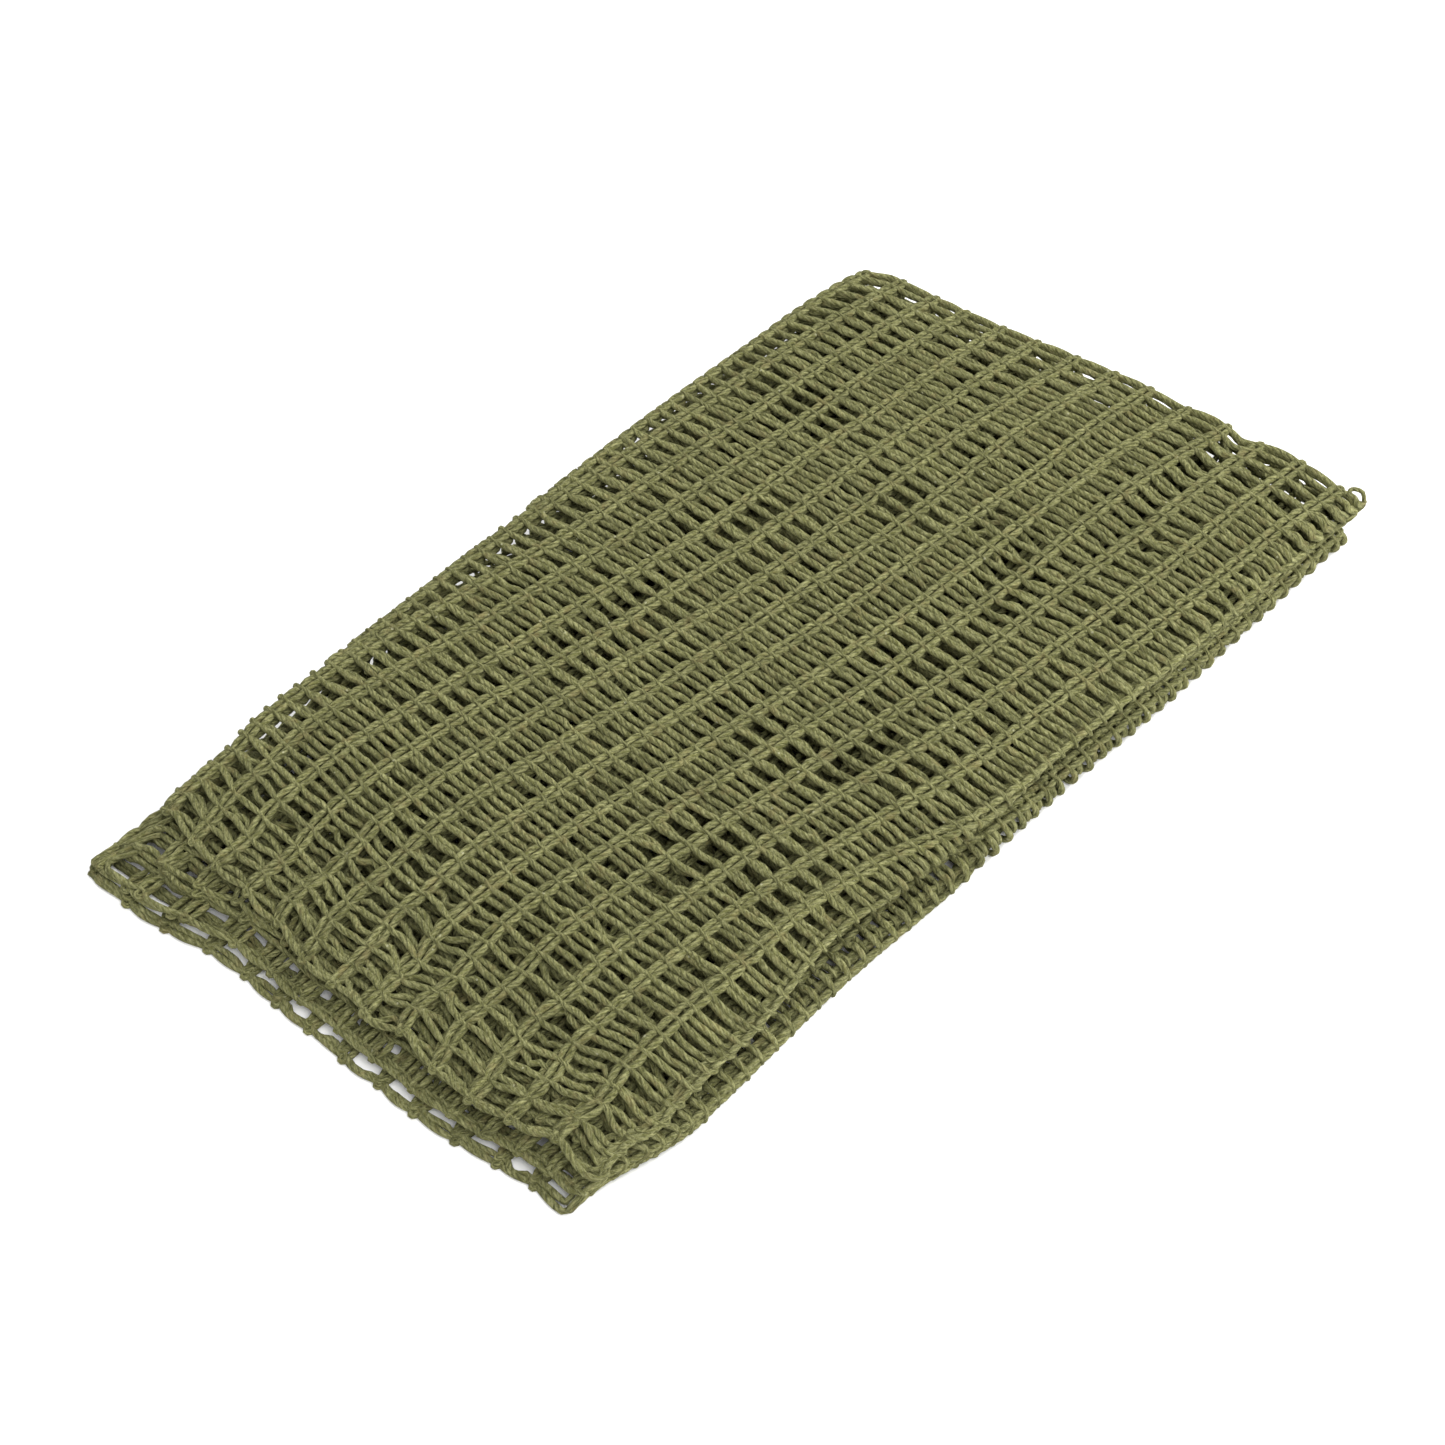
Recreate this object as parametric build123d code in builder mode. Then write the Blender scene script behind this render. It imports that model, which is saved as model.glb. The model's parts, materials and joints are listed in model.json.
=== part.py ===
from build123d import *
import os

os.makedirs("parts", exist_ok=True)

# Cotton mesh net scarf, folded into a flat pack that lies on a surface.
# +X runs along the long side of the pack, +Y from the near long edge to the far one, +Z up.
# The origin is the bottom centre of the whole pack. The long net is doubled first, so that
# its two free edges lie together, and the doubled strip is then folded to and fro into four
# panels, one on another. Panel 1 lies on the surface and has the free edges. Panel 4 is on
# top and has the doubling fold. Both short ends of every ply are open, cast-off edges.

# ---- driving dimensions, millimetres ----
pack_width = 200.0        # across the panels, fold line to fold line
upper_length = 322.0      # panels 3 and 4, along X
lower_length = 330.0      # panels 1 and 2, along X
tongue = 18.0             # how far panels 1 and 2 stick out past panels 3 and 4 at -X
ply_thickness = 2.6       # one net ply: a rung cord over a pair of wale cords, pressed
panel_gap = 0.4           # clearance between two panels that lie on each other
selvedge_width = 3.2      # the edge wale along the free long edge of each ply
hem_width = 2.8           # the cast-off edge along each short end

# ---- sizes that follow ----
overall_length = upper_length + tongue
panel_thickness = 2 * ply_thickness
panel_pitch = panel_thickness + panel_gap
outer_radius = panel_thickness + panel_gap / 2    # outside of the doubled net in a long fold
middle_radius = ply_thickness + panel_gap / 2     # where its two plies meet
near_line = -pack_width / 2
far_line = pack_width / 2
near_bend = near_line + outer_radius              # every panel has a fold along this edge
far_bend = far_line - outer_radius
doubling_bend = far_line - ply_thickness          # where panel 4's plies turn into each other

panel_count = 4
panels = range(1, panel_count + 1)
near_folds = ((1, 2), (3, 4))                     # panels joined along the near long edge
far_folds = ((2, 3),)                             # panels joined along the far long edge


def panel_base(panel):
    """Height of the panel's underside."""
    return (panel - 1) * panel_pitch


def panel_left(panel):
    """X of the short end on -X."""
    if panel <= 2:
        return -overall_length / 2
    return overall_length / 2 - upper_length


def panel_right(panel):
    """X of the short end on +X."""
    if panel <= 2:
        return panel_left(panel) + lower_length
    return overall_length / 2


def panel_far(panel):
    """Y where the flat of the plies ends: at the free edges, at a fold or at the doubling."""
    if panel == 1:
        return far_line - selvedge_width
    if panel == panel_count:
        return doubling_bend
    return far_bend


def save(solid, name):
    solid.label = name
    export_step(solid, f"parts/{name}.step")


def rounded_strip(base, tip, middle_z):
    """Profile of an edge strip one ply thick: flat at base, rounded at tip, where it ends."""
    radius = ply_thickness / 2
    outward = 1 if tip > base else -1
    flat_width = abs(tip - base) - radius
    with Locations((tip - outward * radius, middle_z)):
        Circle(radius)
    with Locations((tip - outward * radius / 2, middle_z)):
        Rectangle(radius, ply_thickness, mode=Mode.INTERSECT)
    with Locations((base + outward * flat_width / 2, middle_z)):
        Rectangle(flat_width, ply_thickness)


# ---- net plies: two flat layers of net in each panel ----
for panel in panels:
    ply_x = panel_right(panel) - panel_left(panel) - 2 * hem_width
    ply_y = panel_far(panel) - near_bend
    centre_x = (panel_right(panel) + panel_left(panel)) / 2
    centre_y = (panel_far(panel) + near_bend) / 2
    for side, level in (("lower", 0), ("upper", 1)):
        with BuildPart() as ply:
            with BuildSketch(Plane.XY.offset(panel_base(panel) + level * ply_thickness)):
                with Locations((centre_x, centre_y)):
                    Rectangle(ply_x, ply_y)
            extrude(amount=ply_thickness)
        save(ply.part, f"panel_{panel}_{side}_ply")

# ---- hems: the cast-off edge of each ply at its two short ends, rounded outwards ----
for panel in panels:
    hem_y = panel_far(panel) - near_bend
    for side, level in (("lower", 0), ("upper", 1)):
        middle_z = panel_base(panel) + (level + 0.5) * ply_thickness
        for end, tip, inward in (("left", panel_left(panel), 1), ("right", panel_right(panel), -1)):
            with BuildPart() as hem:
                with BuildSketch(Plane.XZ.offset(-near_bend)):
                    rounded_strip(tip + inward * hem_width, tip, middle_z)
                extrude(amount=-hem_y)
            save(hem.part, f"panel_{panel}_{side}_{end}_hem")

# ---- selvedges: the edge wale of each ply along the free long edge, on panel 1 ----
for side, level in (("lower", 0), ("upper", 1)):
    middle_z = panel_base(1) + (level + 0.5) * ply_thickness
    with BuildPart() as selvedge:
        with BuildSketch(Plane.YZ.offset(panel_left(1))):
            rounded_strip(far_line - selvedge_width, far_line, middle_z)
        extrude(amount=panel_right(1) - panel_left(1))
    save(selvedge.part, f"panel_1_{side}_selvedge")

# ---- doubling fold: the upper ply of the top panel turns into its lower ply ----
with BuildPart() as doubling_fold:
    with BuildSketch(Plane.YZ.offset(panel_left(panel_count))):
        with Locations((doubling_bend, panel_base(panel_count) + ply_thickness)):
            Circle(ply_thickness)
        with Locations((doubling_bend + ply_thickness / 2, panel_base(panel_count) + ply_thickness)):
            Rectangle(ply_thickness, panel_thickness, mode=Mode.INTERSECT)
    extrude(amount=panel_right(panel_count) - panel_left(panel_count))
save(doubling_fold.part, f"panel_{panel_count}_doubling_fold")


# ---- long folds: the doubled net curves over from one panel to the next ----
# Each fold is cut along its hinge plane, so that each panel keeps its own quarter of the
# bend. The outer quarter carries the outer ply round, and the inner quarter the inner one.
def fold_quarter(panel, hinge_z, bend_y, outward, upward, outer):
    """One quarter of a fold. outward is -1 at the near edge and +1 at the far edge."""
    quarter_height = outer_radius - panel_gap / 2
    centre_z = hinge_z + upward * (panel_gap / 2 + quarter_height / 2)
    with BuildPart() as quarter:
        with BuildSketch(Plane.YZ.offset(panel_left(panel))):
            with Locations((bend_y, hinge_z)):
                Circle(outer_radius if outer else middle_radius)
                if outer:
                    Circle(middle_radius, mode=Mode.SUBTRACT)
            with Locations((bend_y + outward * outer_radius / 2, centre_z)):
                Rectangle(outer_radius, quarter_height, mode=Mode.INTERSECT)
        extrude(amount=panel_right(panel) - panel_left(panel))
    return quarter.part


def long_fold(edge, below, above, bend_y, outward):
    """The four quarters of the fold between the panels below and above."""
    hinge_z = panel_base(above) - panel_gap / 2
    for panel, upward in ((below, -1), (above, 1)):
        for layer, outer in (("outer", True), ("inner", False)):
            quarter = fold_quarter(panel, hinge_z, bend_y, outward, upward, outer)
            save(quarter, f"{edge}_fold_{below}_{above}_{layer}_on_panel_{panel}")
    hinge_y = bend_y + outward * outer_radius
    print(f"{edge} fold {below}-{above}: hinge line at y {hinge_y:.2f}, z {hinge_z:.2f}")


for below, above in near_folds:
    long_fold("near", below, above, near_bend, -1)
for below, above in far_folds:
    long_fold("far", below, above, far_bend, 1)

print(f"pack {overall_length:.1f} x {pack_width:.1f} x {panel_count * panel_pitch - panel_gap:.1f} mm")
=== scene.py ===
import json
import math

import bmesh
import bpy
import numpy as np
from mathutils import Matrix, Vector, noise

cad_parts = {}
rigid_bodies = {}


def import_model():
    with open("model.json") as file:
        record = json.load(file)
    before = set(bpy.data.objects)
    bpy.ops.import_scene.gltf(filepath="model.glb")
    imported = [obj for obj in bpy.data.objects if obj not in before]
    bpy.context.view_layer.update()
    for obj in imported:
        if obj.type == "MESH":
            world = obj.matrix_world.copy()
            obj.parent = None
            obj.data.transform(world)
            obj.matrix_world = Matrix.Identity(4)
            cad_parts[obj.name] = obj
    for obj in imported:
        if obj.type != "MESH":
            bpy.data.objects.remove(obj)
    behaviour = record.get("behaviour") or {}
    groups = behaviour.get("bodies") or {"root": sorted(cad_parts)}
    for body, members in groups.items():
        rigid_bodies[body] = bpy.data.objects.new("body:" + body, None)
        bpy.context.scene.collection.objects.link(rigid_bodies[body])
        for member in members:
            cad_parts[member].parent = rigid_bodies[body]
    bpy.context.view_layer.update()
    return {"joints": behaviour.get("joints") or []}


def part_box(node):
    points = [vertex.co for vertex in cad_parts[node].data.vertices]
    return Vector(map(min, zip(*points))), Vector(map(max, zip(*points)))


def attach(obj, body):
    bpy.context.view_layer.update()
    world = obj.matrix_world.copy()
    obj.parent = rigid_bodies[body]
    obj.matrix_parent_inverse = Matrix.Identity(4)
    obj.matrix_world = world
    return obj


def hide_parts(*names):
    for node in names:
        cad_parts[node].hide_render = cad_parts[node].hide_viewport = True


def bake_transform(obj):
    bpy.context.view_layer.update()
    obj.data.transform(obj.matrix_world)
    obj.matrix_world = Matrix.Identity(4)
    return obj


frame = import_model()

# ---- Camera ----
# A long lens looks down over the left near corner of the pack, far enough back that its edges
# stay nearly parallel. It is rolled a little, so that the long edges climb across the picture.
camera_azimuth, camera_elevation, camera_roll = (math.radians(turn) for turn in (-37.3, 46.2, -11.0))
back = Vector((
    math.sin(camera_azimuth) * math.cos(camera_elevation),
    -math.cos(camera_azimuth) * math.cos(camera_elevation),
    math.sin(camera_elevation),
))
level = Vector((0, 0, 1)).cross(back).normalized()
upright = back.cross(level)
across = level * math.cos(camera_roll) + upright * math.sin(camera_roll)
upward = upright * math.cos(camera_roll) - level * math.sin(camera_roll)
camera_data = bpy.data.cameras.new("long_lens")
camera_data.lens = 68.8
camera_data.sensor_width = 36.0
camera = bpy.data.objects.new("camera", camera_data)
camera.matrix_world = Matrix((across, upward, back)).transposed().to_4x4()
camera.location = (-0.3615, -0.4577, 0.6017)
bpy.context.scene.collection.objects.link(camera)
bpy.context.scene.camera = camera


# ---- Materials' shared tools ----
# Colours are given as sRGB hex values, and one function turns them to the linear values that
# the shader works in. Another adds a node with its settings and its links.
def linear(hex_colour):
    channels = [int(hex_colour[i:i + 2], 16) / 255 for i in (1, 3, 5)]
    return [c / 12.92 if c <= 0.04045 else ((c + 0.055) / 1.055) ** 2.4 for c in channels] + [1.0]


MIX_A, MIX_B, MIX_RESULT = 6, 7, 2      # the colour sockets of Blender's mix node


def add_node(tree, kind, inputs=None, **settings):
    """Adds a node. An input is given a plain value, or another node's output to link to."""
    node = tree.nodes.new(kind)
    for name, value in settings.items():
        setattr(node, name, value)
    for name, value in (inputs or {}).items():
        if isinstance(value, bpy.types.NodeSocket):
            tree.links.new(value, node.inputs[name])
        else:
            node.inputs[name].default_value = value
    return node


# ---- Floor and light ----
# A matt white sweep of paper with large soft lights round it, as in a small studio. The
# strongest light stands to the right, and a weaker one near the camera lights up the mesh.
paper = bpy.data.materials.new("matt_white_paper")
paper.use_nodes = True
paper_shader = paper.node_tree.nodes["Principled BSDF"]
paper_shader.inputs["Base Color"].default_value = linear("#f7f7f6")
paper_shader.inputs["Roughness"].default_value = 0.9
paper_shader.inputs["Specular IOR Level"].default_value = 0.1
bpy.ops.mesh.primitive_plane_add(size=12)
floor = bpy.context.object
floor.name = "paper_floor"
floor.data.materials.append(paper)

studio = bpy.data.worlds.new("studio")
studio.use_nodes = True
studio.node_tree.nodes["Background"].inputs["Color"].default_value = (1, 1, 1, 1)
studio.node_tree.nodes["Background"].inputs["Strength"].default_value = 0.86
bpy.context.scene.world = studio
bpy.context.scene.view_settings.view_transform = "Standard"


def add_softbox(name, place, size, power):
    """A square area light that faces the pack."""
    light_data = bpy.data.lights.new(name, "AREA")
    light_data.size = size
    light_data.energy = power
    light = bpy.data.objects.new(name, light_data)
    light.location = place
    light.rotation_euler = (-Vector(place)).to_track_quat("-Z", "Y").to_euler()
    bpy.context.scene.collection.objects.link(light)


add_softbox("key_softbox", (1.25, -0.75, 0.95), 0.6, 25)
add_softbox("top_softbox", (0.1, 0.5, 1.5), 0.9, 3)
add_softbox("front_softbox", (-0.2, -0.85, 1.0), 0.7, 12)


# ---- How the net lies: one doubled strip, folded to and fro ----
# The net is doubled along its length, and the doubled strip is folded into four panels. Its
# outer layer starts on top of panel 4, and its inner layer just below it. A place in a layer is
# its distance from the doubling fold in millimetres, and the frame's plies say where that lies.
MM = 0.001
panels = (4, 3, 2, 1)
other_side = {"upper": "lower", "lower": "upper"}


def ramp(value, start, end):
    """0 at start and before it, 1 at end and past it, and smooth between. End may be below start."""
    share = np.clip((value - start) / (end - start), 0, 1)
    return share * share * (3 - 2 * share)


def bell(value, middle, reach):
    """1 at the middle, and falling away smoothly on both sides of it."""
    return np.exp(-((value - middle) / reach) ** 2)


def box_mm(node):
    low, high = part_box(node)
    return low / MM, high / MM


def flat_stretch(y, z, step, facing):
    """A straight stretch: where a point lies in Y and Z, and which way the net's face looks."""
    return lambda along: (y + step * along, z + 0 * along, 0 * along, facing + 0 * along)


def bend_stretch(y, z, radius, outward, start, spin, facing):
    """A stretch round a fold. start is 0 at the top of the bend and pi at its bottom."""
    def place(along):
        turn = start + spin * along / radius
        rise, reach = np.cos(turn), outward * np.sin(turn)
        return y + radius * reach, z + radius * rise, facing * reach, facing * rise
    return place


def layer_stretches(first_side):
    """The stretches of one layer, from the doubling fold to the free edge, as (name, length, place)."""
    ply_boxes = {}
    side = first_side
    for panel in panels:
        ply_boxes[panel] = (side, *box_mm(f"panel_{panel}_{side}_ply"))
        side = other_side[side]
    fold_low, fold_high = box_mm("panel_4_doubling_fold")
    fold_y, fold_z = fold_low.y, (fold_low.z + fold_high.z) / 2
    fold_radius = (fold_high.z - fold_low.z) / 4
    upper_first = first_side == "upper"
    doubling = bend_stretch(
        fold_y, fold_z, fold_radius, 1, math.pi / 2, -1 if upper_first else 1, 1)
    stretches = [("doubling_fold", fold_radius * math.pi / 2, doubling)]
    for panel in panels:
        side, low, high = ply_boxes[panel]
        middle = (low.z + high.z) / 2
        facing = 1 if side == "upper" else -1
        towards_near = panel % 2 == 0
        start, step = (high.y, -1) if towards_near else (low.y, 1)
        flat = flat_stretch(start, middle, step, facing)
        stretches.append((f"panel_{panel}_{side}", high.y - low.y, flat))
        if panel > 1:
            _, next_low, next_high = ply_boxes[panel - 1]
            next_middle = (next_low.z + next_high.z) / 2
            radius = (middle - next_middle) / 2
            edge_y, outward = (low.y, -1) if towards_near else (high.y, 1)
            edge = "near" if towards_near else "far"
            layer_name = "outer" if radius > 2 else "inner"
            bend = bend_stretch(edge_y, middle - radius, radius, outward, 0, 1, facing)
            name = f"{edge}_fold_{panel - 1}_{panel}_{layer_name}"
            stretches.append((name, radius * math.pi, bend))
    selvedge_low, selvedge_high = box_mm(f"panel_1_{side}_selvedge")
    selvedge = flat_stretch(selvedge_low.y, middle, 1, facing)
    stretches.append((f"panel_1_{side}_selvedge", selvedge_high.y - selvedge_low.y, selvedge))
    return stretches


upper_left_x = box_mm("panel_4_upper_left_hem")[0].x
upper_right_x = box_mm("panel_4_upper_right_hem")[1].x
lower_left_x = box_mm("panel_1_lower_left_hem")[0].x
lower_right_x = box_mm("panel_1_lower_right_hem")[1].x
cloth_width = (upper_right_x - upper_left_x + lower_right_x - lower_left_x) / 2
left_slip = (300.0, 405.0)      # from where to where along the strip its left end slips to -X
right_slip = (330.0, 460.0)


def x_across(across_mm, along_mm):
    """X of a point that lies across_mm from the strip's left end and along_mm from the doubling."""
    left = upper_left_x + (lower_left_x - upper_left_x) * ramp(along_mm, *left_slip)
    right = upper_right_x + (lower_right_x - upper_right_x) * ramp(along_mm, *right_slip)
    return left + (right - left) * across_mm / cloth_width


# The neat stack is then settled: the lower pair of panels is pressed flatter than the upper
# pair, both ends sag and lie over what is below them, the upper pair's near edge has slid in
# at the left and droops over the lower one, and the ends of the plies don't quite line up.
stack_middle, lower_height, upper_height = 11.0, 9.0, 13.0


def settled_ends(x, y, z, upper, far_corner):
    """X once the short ends have slid. Each pair of panels has its own line, and each ply its inset."""
    right_line = -1.0 - 5.0 * ramp(y, -45, 65) - 4.5 * ramp(y, 84, 100)
    right_line -= 3.0 * bell(y, -57, 5) + 2.2 * ramp(y, -72, -96)
    right_inset = -0.7 * ramp(z, 20.3, 18.3) + 3.2 * ramp(z, 17.6, 15.6) - 4.0 * ramp(z, 14.6, 12.6)
    x = x + upper * (right_line + right_inset) * ramp(x, 60, 170)
    left_line = -5.5 + 8.0 * ramp(y, 5, 100) + 4.5 * ramp(y, -50, -100)
    left_inset = 5.0 * ramp(z, 20.3, 16.3)
    x = x + upper * (left_line + left_inset) * ramp(x, -50, -155)
    tongue_line = 1.0 + 5.5 * ramp(y, -20, -90) - 5.5 * far_corner
    tongue_inset = 1.8 * ramp(z, 2, 3.5) + 4.2 * ramp(z, 4.5, 6.2) - 1.5 * ramp(z, 8, 9.5)
    corner_inset = 1.2 * ramp(z, 2, 3.5) + 1.0 * ramp(z, 4.5, 6.2) + 0.7 * ramp(z, 8, 9.5)
    tongue_inset += (corner_inset - tongue_inset) * far_corner
    return x + (1 - upper) * (tongue_line + tongue_inset) * ramp(x, -100, -168)


def settled_edges(x, y, z, upper, drape):
    """Y once the long edges have slid. The drape is where the upper near edge hangs down."""
    near = ramp(y, -52, -98)
    low_lip = ramp(y, -90, -95) * (1 - upper) * bell(x, -65, 38)
    y = y + (3.5 - 5.5 * ramp(x, -55, -100)) * drape + 2.2 * low_lip
    y += 4.5 * upper * near * ramp(x, -12, -62)
    y += (8.5 - 6.5 * upper) * near * ramp(x, -118, -164)
    y -= 2.0 * near * ramp(x, 20, 80)
    y += 5.0 * upper * near * ramp(z, 18.2, 14.7) * ramp(x, 100, 30)
    y += 4.8 * ramp(x, -122, -170) * ramp(y, 20, 95) * (1 - upper)
    y += (2.2 + 1.2 * np.sin(x / 46 + 1) * upper) * ramp(y, 40, 100)
    return y + 2.2 * ramp(z, 18, 15) * ramp(y, 85, 100)


def settled_height(x, y, z, drape, valley, far_corner):
    """Z once the stack has sagged: the lower half of it, the upper half, and the swells on top."""
    above_middle = np.maximum(z - stack_middle, 0) / stack_middle
    low_part = np.minimum(z, stack_middle) * lower_height / stack_middle - 1.5 * valley
    end_sag = 0.55 * ramp(x, -138, -170) * (1 - 0.5 * far_corner)
    low_part *= (1 - end_sag) * (1 - 0.25 * ramp(x, 140, 170))
    high_part = upper_height * (1 - np.maximum(1 - above_middle, 0) ** 1.35)
    near_droop = 0.16 * ramp(y, -74, -100) * (z > stack_middle)
    high_part *= (1 - 0.7 * ramp(x, -100, -158)) * (1 - 0.22 * ramp(x, 118, 168))
    high_part *= (1 - near_droop) * (1 - 0.42 * drape)
    swell = 0.9 * np.sin(x / 37 + y / 61) * np.sin(y / 33 - x / 85 + 0.8)
    crease = -1.6 * bell(y + 0.1 * (x - 130), -26, 7) * ramp(x, 95, 120)
    return low_part + high_part + (swell + crease) * ramp(z, 12, 20)


def settle(x, y, z):
    """Where a point of the neat stack comes to lie."""
    upper = ramp(z, 9.5, 12.5)      # 0 in the lower pair of panels, 1 in the upper pair
    far_corner = ramp(y, 45, 85)
    x = settled_ends(x, y, z, upper, far_corner)
    drape = ramp(y, -80, -97) * ramp(x, -8, -68) * upper
    valley = bell(y, -87, 5) * ramp(z, 6.5, 8.5) * ramp(x, -8, -68) * (1 - upper)
    y = settled_edges(x, y, z, upper, drape)
    crumple = ramp(x, -100, -145) * (0.3 + 0.7 * upper)
    x = x + crumple * (1.1 * np.sin(y / 6.1 + 1.7 * np.sin(y / 17)) + 0.6 * np.sin(y / 3.1 + z))
    y = y + crumple * (1.2 * np.sin(x / 5.3 + y / 11) + 0.5 * np.sin(x / 2.9 + z))
    return x, y, settled_height(x, y, z, drape, valley, far_corner)


# ---- Yarn ----
# Soft spun cotton, four strands plied together and dyed olive in the piece, so it is
# matt and a little hairy. The ply twist shows as slanting ridges, and painted shade darkens
# the grooves between them. A few undyed fibres show as pale streaks, which also serve as
# painted highlights on the strands.
def plied_cotton(name, painted_groove_shade, body_colour, highlight_and_pale_fibre_colour, strands, lay):
    """strands are twisted together, once round in lay millimetres."""
    material = bpy.data.materials.new(name)
    material.use_nodes = True
    tree = material.node_tree
    shader = tree.nodes["Principled BSDF"]
    shader.inputs["Roughness"].default_value = 0.92
    shader.inputs["Specular IOR Level"].default_value = 0.18
    shader.inputs["Sheen Weight"].default_value = 0.25
    shader.inputs["Sheen Roughness"].default_value = 0.6
    shader.inputs["Sheen Tint"].default_value = linear("#b9bd86")

    place = add_node(tree, "ShaderNodeTexCoord")
    fuzz = add_node(tree, "ShaderNodeTexNoise", {
        "Vector": place.outputs["Object"], "Scale": 1 / (1.1 * MM), "Detail": 4.0, "Roughness": 0.8})

    # slanting ridges: the turn round the cord, less the turn of the twist, a little uneven
    along = add_node(tree, "ShaderNodeAttribute", attribute_name="cord_mm")
    tone = add_node(tree, "ShaderNodeAttribute", attribute_name="cord_tone")
    unwrapped = add_node(tree, "ShaderNodeUVMap", uv_map="UVMap")
    round_cord = add_node(tree, "ShaderNodeSeparateXYZ", {"Vector": unwrapped.outputs["UV"]})
    twist = add_node(tree, "ShaderNodeMath", {0: along.outputs["Fac"], 1: -strands / lay},
                     operation="MULTIPLY")
    turn = add_node(tree, "ShaderNodeMath", {0: round_cord.outputs["Y"], 1: float(strands),
                                             2: twist.outputs[0]}, operation="MULTIPLY_ADD")
    uneven_turn = add_node(tree, "ShaderNodeMath", {
        0: fuzz.outputs["Fac"], 1: 0.9, 2: turn.outputs[0]}, operation="MULTIPLY_ADD")
    half_turn = add_node(tree, "ShaderNodeMath", {0: uneven_turn.outputs[0], 1: math.pi},
                         operation="MULTIPLY")
    wave = add_node(tree, "ShaderNodeMath", {0: half_turn.outputs[0]}, operation="SINE")
    ridge = add_node(tree, "ShaderNodeMath", {0: wave.outputs[0]}, operation="ABSOLUTE")

    # fibres: streaks that follow the twist, drawn 0.7 mm wide so that they show, and a loose fuzz
    streak_place = add_node(tree, "ShaderNodeCombineXYZ", {
        "X": turn.outputs[0], "Y": along.outputs["Fac"], "Z": tone.outputs["Fac"]})
    streak_scale = add_node(tree, "ShaderNodeVectorMath", {
        0: streak_place.outputs[0], 1: (2.6, 0.45, 90.0)}, operation="MULTIPLY")
    streak = add_node(tree, "ShaderNodeTexNoise", {
        "Vector": streak_scale.outputs[0], "Scale": 1.0, "Detail": 4.0, "Roughness": 0.75})
    patch = add_node(tree, "ShaderNodeTexNoise", {
        "Vector": place.outputs["Object"], "Scale": 1 / (9 * MM), "Detail": 3.0, "Roughness": 0.6})

    # painted shade: the twist grooves are coloured towards the darker shade colour, and the ridge tops
    # towards the body colour
    groove_shade_share = add_node(tree, "ShaderNodeMapRange", {
        "Value": ridge.outputs[0], "From Min": 0.05, "From Max": 0.7, "To Min": 0.0, "To Max": 1.0})
    groove_shaded_body = add_node(tree, "ShaderNodeMix", {
        "Factor": groove_shade_share.outputs[0],
        MIX_A: linear(painted_groove_shade), MIX_B: linear(body_colour)}, data_type="RGBA")
    fibre_both = add_node(tree, "ShaderNodeMath", {
        0: fuzz.outputs["Fac"], 1: 0.5, 2: streak.outputs["Fac"]}, operation="MULTIPLY_ADD")
    # partly painted highlight: where the fibre streaks and fuzz run high, the colour is lightened towards
    # the pale colour, which stands both for undyed fibres and for painted highlights on the strands
    fibre_highlight_share = add_node(tree, "ShaderNodeMapRange", {
        "Value": fibre_both.outputs[0], "From Min": 0.68, "From Max": 0.92, "To Min": 0.0,
        "To Max": 1.0})
    highlight_mix = add_node(tree, "ShaderNodeMix", {
        "Factor": fibre_highlight_share.outputs[0],
        MIX_A: groove_shaded_body.outputs[MIX_RESULT], MIX_B: linear(highlight_and_pale_fibre_colour)}, data_type="RGBA")
    rust = add_node(tree, "ShaderNodeTexNoise", {
        "Vector": place.outputs["Object"], "Scale": 1 / (5 * MM), "Detail": 3.0, "Roughness": 0.65})
    rust_share = add_node(tree, "ShaderNodeMapRange", {
        "Value": rust.outputs["Fac"], "From Min": 0.55, "From Max": 0.78, "To Min": 0.0, "To Max": 0.5})
    rust_mix = add_node(tree, "ShaderNodeMix", {
        "Factor": rust_share.outputs[0],
        MIX_A: highlight_mix.outputs[MIX_RESULT], MIX_B: linear("#83714a")}, data_type="RGBA")
    patch_value = add_node(tree, "ShaderNodeMapRange", {
        "Value": patch.outputs["Fac"], "From Min": 0.25, "From Max": 0.75, "To Min": 0.84, "To Max": 1.14})
    cord_value = add_node(tree, "ShaderNodeMath", {
        0: patch_value.outputs[0], 1: tone.outputs["Fac"]}, operation="MULTIPLY")
    coloured = add_node(tree, "ShaderNodeHueSaturation", {
        "Value": cord_value.outputs[0], "Color": rust_mix.outputs[MIX_RESULT]})

    # lint: a pale speck of undyed fibre every few centimetres
    lint_cells = add_node(tree, "ShaderNodeTexVoronoi", {
        "Vector": place.outputs["Object"], "Scale": 1 / (7 * MM)})
    lint = add_node(tree, "ShaderNodeMath", {0: lint_cells.outputs["Distance"], 1: 0.06},
                    operation="LESS_THAN")
    lint_share = add_node(tree, "ShaderNodeMath", {0: lint.outputs[0], 1: 0.5}, operation="MULTIPLY")
    finished = add_node(tree, "ShaderNodeMix", {
        "Factor": lint_share.outputs[0],
        MIX_A: coloured.outputs["Color"], MIX_B: linear("#c9c8a6")}, data_type="RGBA")
    tree.links.new(finished.outputs[MIX_RESULT], shader.inputs["Base Color"])

    relief = add_node(tree, "ShaderNodeMath", {
        0: ridge.outputs[0], 1: 0.5, 2: fibre_both.outputs[0]}, operation="MULTIPLY_ADD")
    bump = add_node(tree, "ShaderNodeBump", {
        "Height": relief.outputs[0], "Strength": 1.0, "Distance": 1.0 * MM})
    tree.links.new(bump.outputs["Normal"], shader.inputs["Normal"])
    return material


# Each yarn's colours: painted shade for the twist grooves, the body colour, and a pale colour for undyed
# fibres that also serves as painted highlight.
net_yarn = plied_cotton("plied_cotton_net", "#3e3e21", "#5d5d33", "#9d9c6d", 4, 12.5)
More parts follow.
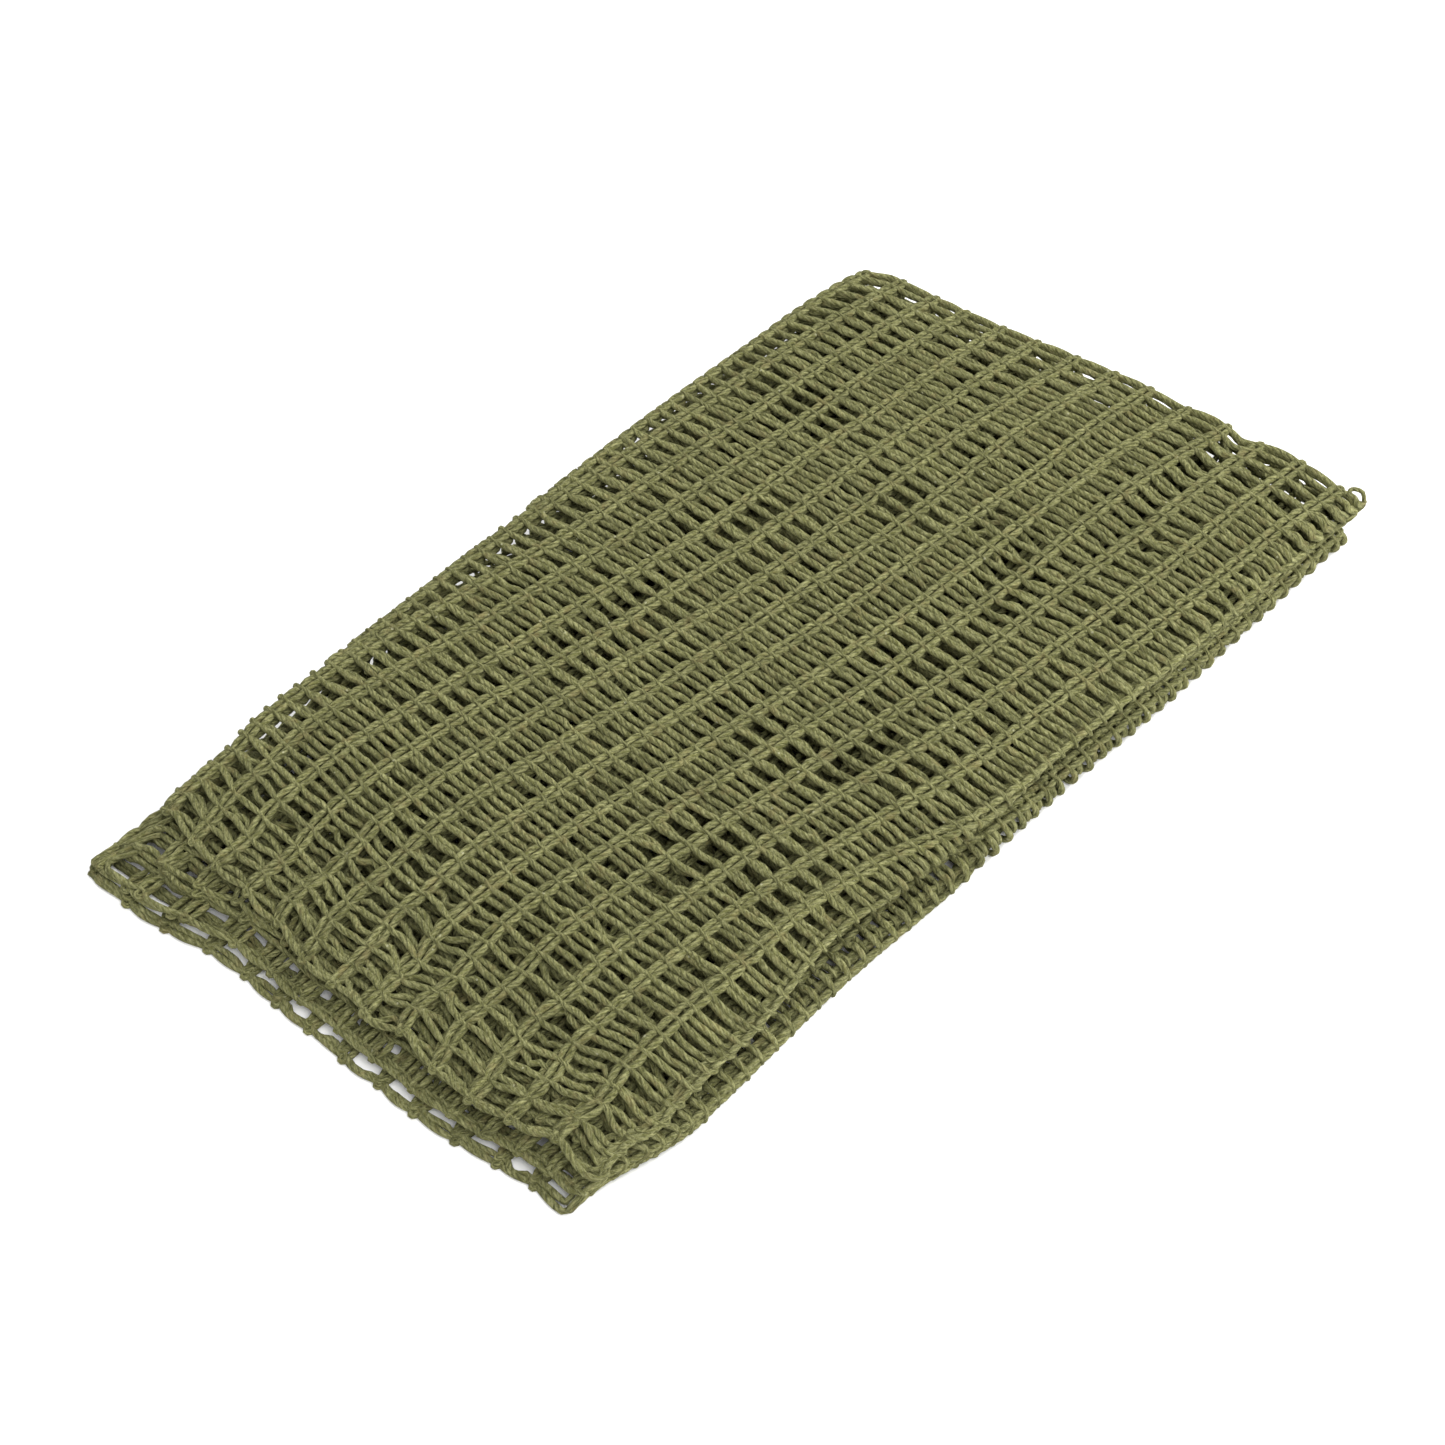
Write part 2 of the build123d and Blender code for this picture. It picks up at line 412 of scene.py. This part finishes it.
# The folds get a copy of the net yarn painted a little lighter: painted light on the folds of the pack.
fold_yarn_painted_lighter = plied_cotton("plied_cotton_folds_painted_lighter", "#404022", "#5f5f35", "#9f9e6f", 4, 12.5)
edge_yarn = plied_cotton("plied_cotton_edges", "#3e3e21", "#5d5d33", "#9d9c6d", 4, 11.0)


# ---- Making cords ----
# Every cord of the net is a line of points with a thickness at each, given a round section and
# turned into a mesh. A point is its distance across the strip and along it, its height above the
# middle of its layer, and the cord's radius there, all in millimetres.
ACROSS, ALONG, PROUD, RADIUS = range(4)
layers = {"outer": layer_stretches("upper"), "inner": layer_stretches("lower")}
piece_lines = {}        # piece name -> its cords, as (stretch start, place, rows)


def cut(rows, column, values):
    """Adds a point, by straight interpolation, wherever the line crosses one of the values."""
    made = [rows[0]]
    for before, after in zip(rows[:-1], rows[1:]):
        low, high = sorted((before[column], after[column]))
        falling = bool(before[column] > after[column])
        for value in sorted([v for v in values if low < v < high], reverse=falling):
            share = (value - before[column]) / (after[column] - before[column])
            made.append(before + (after - before) * share)
        made.append(after)
    return made


hem_width = box_mm("panel_4_upper_left_hem")[1].x - upper_left_x
bend_parts = 6


def lay_cord(layer, rows):
    """Cuts a cord where its layer changes from one piece to the next, and gives each its part."""
    stretches = layers[layer]
    starts = np.concatenate(([0.0], np.cumsum([length for _, length, _ in stretches])))
    hem_lines = (hem_width, cloth_width - hem_width)
    bend_points = [
        starts[number] + length * part / bend_parts
        for number, (name, length, _) in enumerate(stretches) if "fold" in name
        for part in range(1, bend_parts)
    ]
    rows = cut(cut(rows, ALONG, [*starts, *bend_points]), ACROSS, hem_lines)
    run, run_key = [], None
    for before, after in zip(rows[:-1], rows[1:]):
        middle = (before + after) / 2
        index = int(np.searchsorted(starts, middle[ALONG])) - 1
        if not 0 <= index < len(stretches):
            run_key = None
            continue
        name, _, place = stretches[index]
        end = "left" if middle[ACROSS] < hem_lines[0] else "right" if middle[ACROSS] > hem_lines[1] else ""
        key = (name, end)
        if key != run_key:
            run = [before]
            run_key = key
            is_ply = name.startswith("panel") and "selvedge" not in name
            piece = f"{name}_{end}_hem" if end and is_ply else name
            lines = piece_lines.setdefault(piece, [])
            lines.append((place, starts[index], run))
        run.append(after)


# ---- Wales and rungs ----
# The net is a ladder: wales of two cords side by side run along the pack, 14.6 mm apart, and a
# thinner rung cord crosses them every 6 mm and ties each pair together. Between two rungs the
# pair swells, and under a rung it is pinched and pressed down.
wale_pitch = {"outer": 14.66, "inner": 14.51}
first_wale = 4.4
wale_count = 54
rung_count = 54
rung_inset = 1.5
end_crowding = 2.4      # how much nearer to the right end the rungs just before it lie
layer_sign = {"outer": 1, "inner": -1}


def drift(across_mm):
    """How far the wales of the top panel wander towards its near edge, from left to right."""
    x = upper_left_x + across_mm
    return 0.05 * x + 14.0 * ramp(x, -113, 54) - 11.1


def ripple(a, b, c=0.0):
    return noise.noise(Vector((a, b, c)))


def cling(along_mm):
    """Holds a wale to the doubling fold as it slants across it, so that it edges the pack there."""
    held_from, held_to = 4, 1.6
    if along_mm > held_from:
        return along_mm
    return held_to + (held_from - held_to) * ramp(along_mm, -2, held_from) - 9 * ramp(along_mm, -8, -12)


def stretch_start(layer, wanted):
    """Where along the strip a stretch begins."""
    names = [name for name, _, _ in layers[layer]]
    return sum(length for _, length, _ in layers[layer][:names.index(wanted)])


near_edge = {           # a line just above the outermost one of the top panel's near fold
    "outer": stretch_start("outer", "near_fold_3_4_outer") + 5.2,
    "inner": stretch_start("inner", "near_fold_3_4_inner") + 2.2,
}
near_hold = 0.85        # how firmly a wale close to that line is held to it
near_hold_reach = 12.0
lip_wale = 14           # the wale that runs along that edge at the left
low_edge = {        # the outermost line of the lower near fold, seen from above
    "outer": stretch_start("outer", "near_fold_1_2_outer") + 9.1,
    "inner": stretch_start("inner", "near_fold_1_2_inner") + 3.1,
}
low_edge_shift = 6.3    # how far the wales move along the strip to put one of them on that line


def wale_line(layer, wale, across_mm):
    """Where along the strip a wale lies. The nearest one edges the top panel's near fold."""
    home = first_wale + wale_pitch[layer] * wale
    x = upper_left_x + across_mm
    wander = ripple(across_mm / 60, layer_sign[layer] * home / 22) * ramp(home, 0, 30)
    free = home + drift(across_mm) * ramp(home, 700, 300) + 1.9 * wander
    lip_home = first_wale + wale_pitch[layer] * lip_wale
    lip_gap = near_edge[layer] - lip_home - drift(across_mm)
    free += lip_gap * ramp(x, -35, -75) * bell(home, lip_home, 25)
    free -= low_edge_shift * ramp(x, 35, -15) * bell(home, low_edge[layer], 40)
    off = free - near_edge[layer]
    pull = near_hold * bell(off, 0, near_hold_reach)
    held = free - pull * wale_pitch[layer] / math.tau * math.sin(math.tau * off / wale_pitch[layer])
    return cling(held)


# Under the top layer the second one shows in the mesh. Its rungs mostly lie half way between
# the top ones and rise up between them. Where they lie right under them instead, the mesh is
# open and looks dark: in four short rows of cells, and in patches near the left end.
open_spots = ((-75, -42, 16), (-6, -57, 11), (79, -40, 13), (-20, -50, 8))      # X, Y and reach in X
low_fold_line = stretch_start("outer", "near_fold_1_2_outer") + 7.0
low_fold_opening = -91      # X where the mesh of the lower near fold is most open


def closeness(across_mm, along_mm):
    """1 where the two layers' rungs lie side by side, and 0 where they lie on each other."""
    x, y = upper_left_x + across_mm, 100 - along_mm
    open_patch = ripple(x / 17, y / 13, 4.4) + 0.9 * ramp(x, -92, -142) - 0.6
    closed = 1 - 0.8 * ramp(open_patch, 0, 0.2)
    for spot_x, spot_y, reach in open_spots:
        closed *= 1 - bell(x, spot_x, reach) * bell(y, spot_y, 7)
    off_x = (x - low_fold_opening) / 20
    off_fold = (along_mm - low_fold_line) / 9
    return closed * (1 - math.exp(-off_x ** 4 - off_fold ** 4))


panel_slip = 1.6        # how far the rungs of panel 3 lie to the right of those above them


def rung_line(layer, rung, along_mm):
    """Where across the strip a rung lies."""
    share = rung / rung_count
    home = rung_inset + (cloth_width - 2 * rung_inset) * (share + 0.1 * share * (1 - share) ** 3)
    home += end_crowding * ramp(rung, rung_count - 5, rung_count - 1) * (rung < rung_count)
    loose = ramp(min(share, 1 - share), 0, 0.05)
    signed = layer_sign[layer] * along_mm
    sway = 1.9 * ripple(rung * 0.23, signed / 33, 7.3)
    sway += 0.8 * ripple(rung * 1.3, signed / 9, 12.3)
    sway += 0.55 * ripple(rung * 2.9, signed / 3.4, 31.0)
    sway += panel_slip * ramp(along_mm, 185, 210)
    if layer == "inner":
        sway += 3.0 * closeness(home, along_mm) * ramp(along_mm, 0, 25)
    return home + sway * loose


# shares of the way from one crossing to the next, with what the cord does there
wale_shape = (      # share, height, radius, half the distance between the pair
    (0.0, -0.3, 0.82, 0.95), (0.2, 0.05, 1.0, 1.3), (0.5, 0.2, 1.08, 1.42), (0.8, 0.05, 1.0, 1.3))
rung_shape = (      # share, height, radius
    (0.0, 0.75, 0.6), (0.1, 0.65, 0.78), (0.22, 0.25, 0.98), (0.37, 0.0, 1.08),
    (0.5, -0.1, 1.1), (0.63, 0.0, 1.08), (0.78, 0.25, 0.98), (0.9, 0.65, 0.78))
inner_rise = 1.7    # how far the inner layer's rungs rise between the outer layer's
edge_bow = 0.7      # how far the last rung bows out between two wales


def wale_pair(layer, wale, rungs, hand):
    """One cord of a pair, from the left end to the right one."""
    rows = []
    for rung in range(rung_count):
        fullness = 1 + 0.16 * ripple(rung * 0.9, wale * 2.7, hand * 3.0)
        for share, proud, radius, spread in wale_shape:
            across_mm = rungs[rung] + (rungs[rung + 1] - rungs[rung]) * share
            uneven = 0.55 * ripple(across_mm / 3, wale * 3.1, hand * 5.0)
            along_mm = wale_line(layer, wale, across_mm) + hand * spread * fullness + uneven
            rows.append(np.array((across_mm, along_mm, proud, radius * fullness)))
    across_mm = rungs[rung_count]
    along_mm = wale_line(layer, wale, across_mm) + hand * wale_shape[0][3]
    rows.append(np.array((across_mm, along_mm, *wale_shape[0][1:3])))
    return rows


def end_turn(layer, wale, tie, outward):
    """The short bend in which one cord of a pair turns back and becomes the other."""
    middle = wale_line(layer, wale, tie)
    return [
        np.array((tie + outward * reach, middle + side, -0.1, 0.85))
        for reach, side in ((0.8, -0.95), (1.4, -0.4), (1.4, 0.4), (0.8, 0.95))
    ]


for layer in layers:
    strip_length = sum(length for _, length, _ in layers[layer])
    edge_wale = strip_length - 1.6
    for wale in range(-1, wale_count):
        rungs = [
            rung_line(layer, rung, wale_line(layer, wale, rung * cloth_width / rung_count))
            for rung in range(rung_count + 1)
        ]
        near_cord, far_cord = (wale_pair(layer, wale, rungs, hand) for hand in (-1, 1))
        left_turn = end_turn(layer, wale, rungs[0], -1)
        right_turn = end_turn(layer, wale, rungs[-1], 1)
        lay_cord(layer, [*near_cord[::-1], *left_turn, *far_cord, *right_turn[::-1], near_cord[-1]])
    for rung in range(rung_count + 1):
        rows = []
        home = rung * cloth_width / rung_count
        bow = edge_bow * ((rung == rung_count) - (rung == 0))
        for wale in range(-1, wale_count):
            here = wale_line(layer, wale, home)
            there = edge_wale if wale == wale_count - 1 else wale_line(layer, wale + 1, home)
            for share, proud, radius in rung_shape:
                along_mm = here + (there - here) * share
                if layer == "inner":
                    proud = -proud - inner_rise * math.sin(math.pi * share) * closeness(home, along_mm)
                lift = 0.45 * ripple(rung * 1.1, layer_sign[layer] * along_mm / 5, 3.0)
                across_mm = rung_line(layer, rung, along_mm) + bow * math.sin(math.pi * share)
                rows.append(np.array((across_mm, along_mm, proud + lift, radius)))
        across_mm = rows[-1][ACROSS]
        for beyond, proud, radius in ((0.0, 1.5, 0.75), (1.5, 0.4, 0.8), (1.0, -1.0, 0.75)):
            rows.append(np.array((across_mm, edge_wale + beyond, layer_sign[layer] * proud, radius)))
        lay_cord(layer, rows)
    edge_rungs = [rung_line(layer, rung, edge_wale) for rung in range(rung_count + 1)]
    edge_cord = [
        np.array((here + (there - here) * share, edge_wale, -0.1, radius))
        for here, there in zip(edge_rungs[:-1], edge_rungs[1:])
        for share, radius in ((0.0, 1.15), (0.3, 1.35), (0.7, 1.35))
    ]
    lay_cord(layer, edge_cord)


# At the right near corner of the top panel one end loop has slipped its rung and stands open.
loop_across = cloth_width + 1.0
loop_along = stretch_start("outer", "near_fold_3_4_outer") + 3.0
lay_cord("outer", [
    np.array((loop_across + 2.0 * math.cos(turn), loop_along + 3.4 * math.sin(turn), 0.3, 0.7))
    for turn in np.radians(np.linspace(-140, 140, 13))
])


tone_spread = 0.12      # how much lighter or darker one cord is than the next
twist_offset = 1.7      # how far apart in their twist, in millimetres, two cords start


def cord_mesh(name, lines, sides, settled):
    """A mesh of round cords through the lines, with each cord's length and tone as attributes."""
    curve = bpy.data.curves.new(name, "CURVE")
    curve.dimensions = "3D"
    curve.bevel_depth = 1.0
    curve.bevel_resolution = (sides - 4) // 2
    lengths, tones = [], []
    for number, (place, start, rows) in enumerate(lines):
        rows = np.array(rows)
        x = x_across(rows[:, ACROSS], rows[:, ALONG])
        y, z, face_y, face_z = place(rows[:, ALONG] - start)
        y = y + face_y * rows[:, PROUD]
        z = z + face_z * rows[:, PROUD]
        if settled:
            x, y, z = settle(x, y, z)
        z = np.maximum(z, rows[:, RADIUS] * 0.97)       # it rests on the floor, and doesn't sink in
        points = np.column_stack((x, y, z, np.ones(len(x))))
        spline = curve.splines.new("POLY")
        spline.points.add(len(points) - 1)
        spline.points.foreach_set("co", points.ravel())
        spline.points.foreach_set("radius", rows[:, RADIUS])
        steps = np.linalg.norm(np.diff(rows[:, :PROUD], axis=0), axis=1)
        lengths.append(np.repeat(np.concatenate(([0.0], np.cumsum(steps))) + number * twist_offset, sides))
        tones.append(np.full(len(points) * sides, 1 + tone_spread * math.sin(number * 2.4)))
    holder = bpy.data.objects.new(name, curve)
    mesh = bpy.data.meshes.new_from_object(holder)
    bpy.data.objects.remove(holder)
    bpy.data.curves.remove(curve)
    mesh.transform(Matrix.Scale(MM, 4))
    for attribute, values in (("cord_mm", lengths), ("cord_tone", tones)):
        layer_data = mesh.attributes.new(attribute, "FLOAT", "POINT")
        layer_data.data.foreach_set("value", np.concatenate(values).astype(np.float32))
    shape = bmesh.new()
    shape.from_mesh(mesh)
    bmesh.ops.holes_fill(shape, edges=[e for e in shape.edges if e.is_boundary], sides=sides)
    shape.to_mesh(mesh)
    shape.free()
    mesh.shade_smooth()
    return mesh


def add_piece(name, lines, sides, material, settled=True):
    mesh = cord_mesh(name, lines, sides, settled)
    mesh.materials.clear()
    mesh.materials.append(material)
    piece = bpy.data.objects.new(name, mesh)
    bpy.context.scene.collection.objects.link(piece)
    return piece


# ---- The net of each panel ----
# Each panel holds two plies of the net, knitted in one piece with the rest. The top one is seen
# closest, so its cords are rounder than those inside the stack.
for panel in panels:
    for side in ("upper", "lower"):
        name = f"panel_{panel}_{side}"
        sides = 8 if panel == 4 else 6
        ply = add_piece(f"{name}_net", piece_lines[name], sides, net_yarn)
        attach(ply, f"panel_{panel}")
        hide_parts(f"{name}_ply")

# ---- Hems ----
# At each short end of a ply the wales are cast off: each pair of cords turns back on itself
# round the last rung, which runs along the whole end.
for panel in panels:
    for side in ("upper", "lower"):
        for end in ("left", "right"):
            name = f"panel_{panel}_{side}_{end}_hem"
            hem = add_piece(f"{name}_cords", piece_lines[name], 8, edge_yarn)
            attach(hem, f"panel_{panel}")
            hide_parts(name)

# ---- Selvedges ----
# The strip's two free long edges lie together along the far side of panel 1. Each ends in a
# single thicker edge cord that the rungs are looped round.
for side in ("upper", "lower"):
    name = f"panel_1_{side}_selvedge"
    selvedge = add_piece(f"{name}_cord", piece_lines[name], 8, edge_yarn)
    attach(selvedge, "panel_1")
    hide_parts(name)

# ---- Doubling fold ----
# Along the far edge of the top panel the net turns straight back under itself.
doubling = add_piece("panel_4_doubling_fold_net", piece_lines["doubling_fold"], 8, fold_yarn_painted_lighter)
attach(doubling, "panel_4")
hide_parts("panel_4_doubling_fold")

# ---- Long folds ----
# At each long fold both layers of the net curve over from one panel to the next. They are soft;
# each layer is built as one mesh and laid where the settled stack puts it, and it is not
# attached to either panel.
for joint in frame["joints"]:
    below, above = (int(joint[body][-1]) for body in ("parent", "child"))
    edge = joint["name"].split("_")[0]
    for layer_name in ("outer", "inner"):
        name = f"{edge}_fold_{below}_{above}_{layer_name}"
        lines = piece_lines[name]
        bend = add_piece(f"{name}_net", lines, 8, fold_yarn_painted_lighter, settled=False)
        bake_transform(bend)
        settled_mesh = cord_mesh(f"{name}_settled", lines, 8, True)
        places = np.zeros(len(settled_mesh.vertices) * 3, np.float32)
        settled_mesh.vertices.foreach_get("co", places)
        bend.data.vertices.foreach_set("co", places)
        bend.data.update()
        bpy.data.meshes.remove(settled_mesh)
        quarters = [f"{name}_on_panel_{panel}" for panel in (below, above)]
        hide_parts(*quarters)
